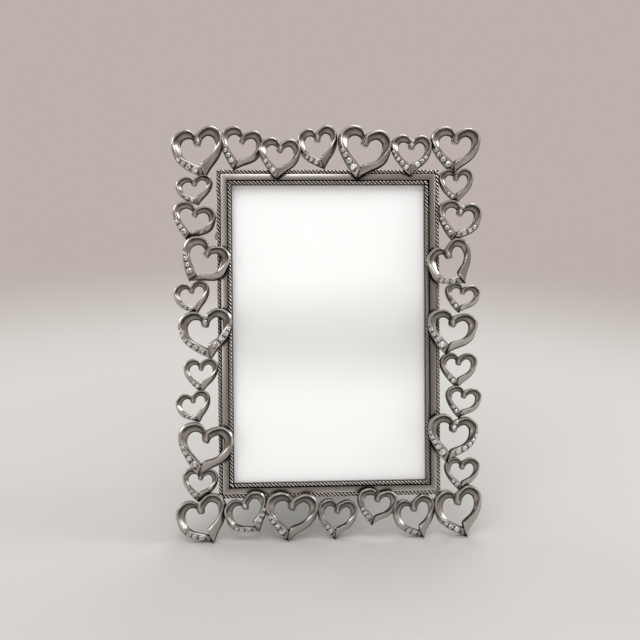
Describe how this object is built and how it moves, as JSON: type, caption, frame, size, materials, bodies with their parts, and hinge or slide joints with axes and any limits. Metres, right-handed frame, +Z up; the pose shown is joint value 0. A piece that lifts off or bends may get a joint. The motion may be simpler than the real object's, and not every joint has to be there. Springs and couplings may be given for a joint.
{
  "type": "photo frame",
  "caption": "Portrait photo frame with roped moulding and a border of open ribbon hearts set with stones, standing on a hinged leg.",
  "frame": {"origin": "on the floor, under the middle of the bounding box, with the leg open", "axes": "+X to the viewer's right, +Y towards the back, +Z up; the window faces -Y and leans back"},
  "size_m": [0.1525, 0.0857, 0.197],
  "materials": {
    "pewter": "antique pewter plate on cast zinc alloy, satin with dark recesses",
    "rhinestone": "clear faceted glass with foiled backs",
    "glass": "clear float glass",
    "paper": "smooth white paper",
    "card": "grey board",
    "velvet_board": "fibreboard covered in black velvet",
    "steel": "nickel plated steel"
  },
  "bodies": {
    "frame": {"moulding": "pewter", "inner_rope": "pewter", "outer_rope": "pewter", "glass_pane": "glass", "photo_insert": "paper", "filler_card": "card", "back_board": "velvet_board", "board_hinge_leaf": "steel", "hinge_pin": "steel", "board_rivets": "steel", "button_screws": "steel", "top_hearts": "pewter", "top_stones": "rhinestone", "bottom_hearts": "pewter", "bottom_stones": "rhinestone", "left_hearts": "pewter", "left_stones": "rhinestone", "right_hearts": "pewter", "right_stones": "rhinestone", "corner_hearts": "pewter", "corner_stones": "rhinestone"},
    "leg": {"easel_leg": "velvet_board", "leg_hinge_leaf": "steel", "leg_rivets": "steel"},
    "turn_button_upper_left": {"turn_button_upper_left": "steel"},
    "turn_button_lower_left": {"turn_button_lower_left": "steel"},
    "turn_button_upper_right": {"turn_button_upper_right": "steel"},
    "turn_button_lower_right": {"turn_button_lower_right": "steel"}
  },
  "joints": [
    {"name": "easel_leg_fold", "type": "hinge", "parent": "frame", "child": "leg", "pos_m": [0, 0.00556, 0.13936], "axis": [-1, 0, 0], "range_deg": [0, 28]},
    {"name": "turn_button_upper_left_turn", "type": "hinge", "parent": "frame", "child": "turn_button_upper_left", "pos_m": [-0.05295, 0.00498, 0.14262], "axis": [0, -0.9659, 0.2588], "continuous": true},
    {"name": "turn_button_lower_left_turn", "type": "hinge", "parent": "frame", "child": "turn_button_lower_left", "pos_m": [-0.05295, -0.01987, 0.04989], "axis": [0, -0.9659, 0.2588], "continuous": true},
    {"name": "turn_button_upper_right_turn", "type": "hinge", "parent": "frame", "child": "turn_button_upper_right", "pos_m": [0.05295, 0.00498, 0.14262], "axis": [0, -0.9659, 0.2588], "continuous": true},
    {"name": "turn_button_lower_right_turn", "type": "hinge", "parent": "frame", "child": "turn_button_lower_right", "pos_m": [0.05295, -0.01987, 0.04989], "axis": [0, -0.9659, 0.2588], "continuous": true}
  ]
}
